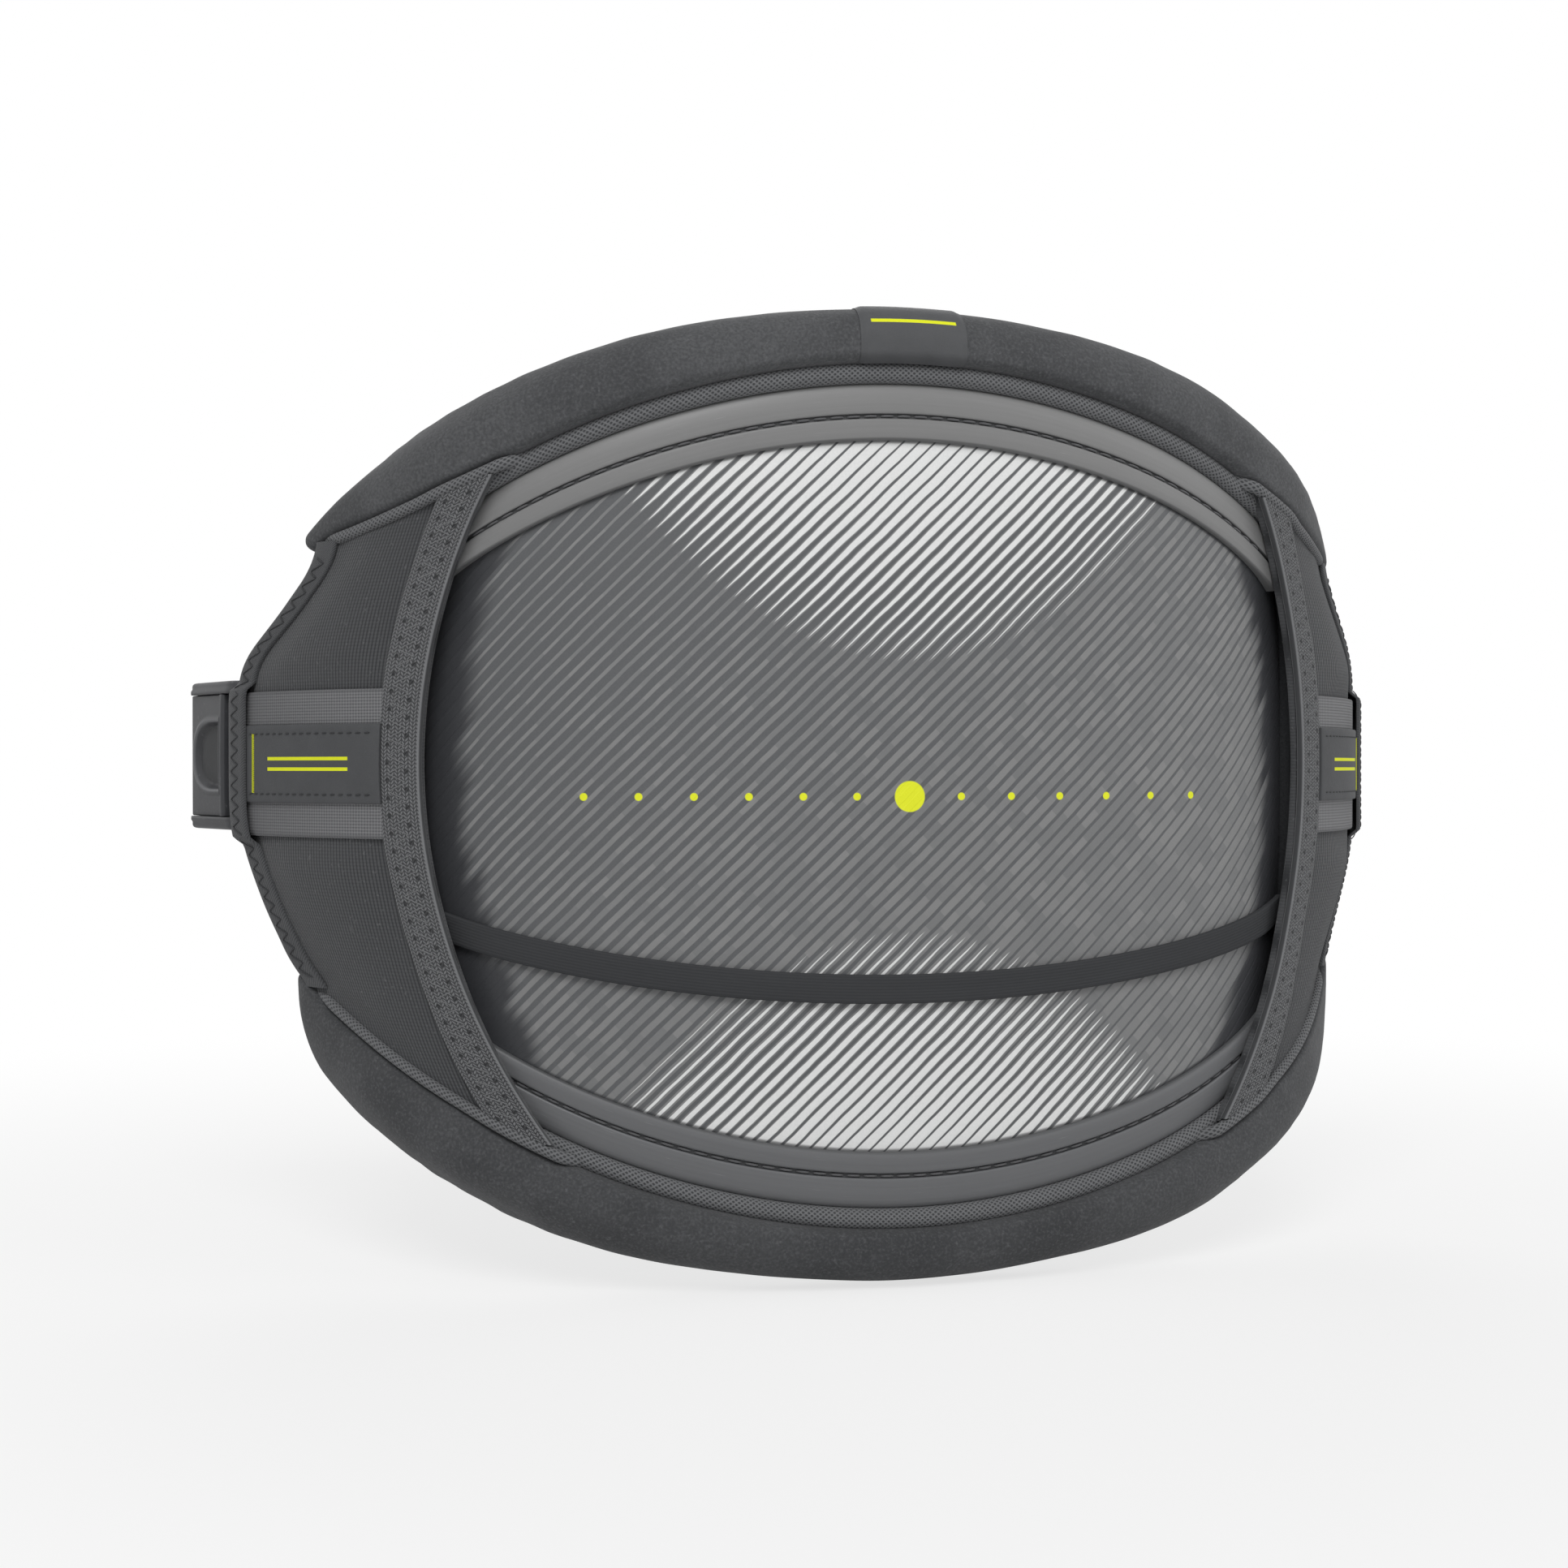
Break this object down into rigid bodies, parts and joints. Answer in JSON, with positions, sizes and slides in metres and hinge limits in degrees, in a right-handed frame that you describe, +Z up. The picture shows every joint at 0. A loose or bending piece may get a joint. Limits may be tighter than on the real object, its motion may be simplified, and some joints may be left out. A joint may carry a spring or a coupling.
{
  "type": "waist harness",
  "caption": "Hard-shell waist harness with padded rolled edges, soft side wings and sprung cam buckles for the spreader bar's straps.",
  "frame": {"origin": "the point of the inner liner that lies on the wearer's spine, at mid height", "axes": "+X to the right seen from behind, +Y forwards through the wearer, +Z up"},
  "size_m": [0.4174, 0.1486, 0.2902],
  "materials": {
    "shell": "satin moulded composite shell printed with fine diagonal stripes",
    "rim": "satin moulded rim with a stitched groove",
    "foam": "closed-cell foam inside the covers",
    "liner": "smooth soft lining on the wearer's side",
    "roll": "smooth neoprene with a fine grain",
    "welt": "knitted mesh piping",
    "label": "smooth flexible patch, bare",
    "leash": "matt smooth strap",
    "wing": "finely ribbed stretch fabric",
    "board": "stiffener board",
    "tape": "woven elastic tape with zigzag stitching",
    "binding": "woven binding tape with zigzag stitching",
    "webbing": "ribbed load webbing",
    "thread": "fluorescent yellow bar tack",
    "buckle": "satin glass-filled nylon",
    "lever": "satin glass-filled nylon",
    "pin": "turned stainless pin",
    "spring": "stainless spring wire"
  },
  "bodies": {
    "harness": {"shell_plate": "shell", "top_rim": "rim", "bottom_rim": "rim", "lumbar_foam": "foam", "inner_liner": "liner", "top_roll": "roll", "bottom_roll": "roll", "top_welt": "welt", "bottom_welt": "welt", "top_label": "label", "leash_strap": "leash", "left_wing_cover": "wing", "left_wing_board": "board", "left_wing_foam": "foam", "left_trim_tape": "tape", "left_edge_binding": "binding", "left_side_webbing": "webbing", "left_webbing_patch": "label", "left_bar_tack": "thread", "left_anchor_strap": "binding", "left_buckle_frame": "buckle", "left_hinge_pin": "pin", "left_torsion_spring": "spring", "right_wing_cover": "wing", "right_wing_board": "board", "right_wing_foam": "foam", "right_trim_tape": "tape", "right_edge_binding": "binding", "right_side_webbing": "webbing", "right_webbing_patch": "label", "right_bar_tack": "thread", "right_anchor_strap": "binding", "right_buckle_frame": "buckle", "right_hinge_pin": "pin", "right_torsion_spring": "spring"},
    "left_lever": {"left_cam_lever": "lever"},
    "right_lever": {"right_cam_lever": "lever"}
  },
  "joints": [
    {"name": "left_lever_hinge", "type": "hinge", "parent": "harness", "child": "left_lever", "pos_m": [-0.20374, 0.11485, 0.0125], "axis": [0, 0, -1], "range_deg": [0, 55], "stiffness_Nm_per_rad": 0.05, "springref_deg": -5.73},
    {"name": "right_lever_hinge", "type": "hinge", "parent": "harness", "child": "right_lever", "pos_m": [0.20374, 0.11485, 0.0125], "axis": [0, 0, 1], "range_deg": [0, 55], "stiffness_Nm_per_rad": 0.05, "springref_deg": -5.73}
  ]
}
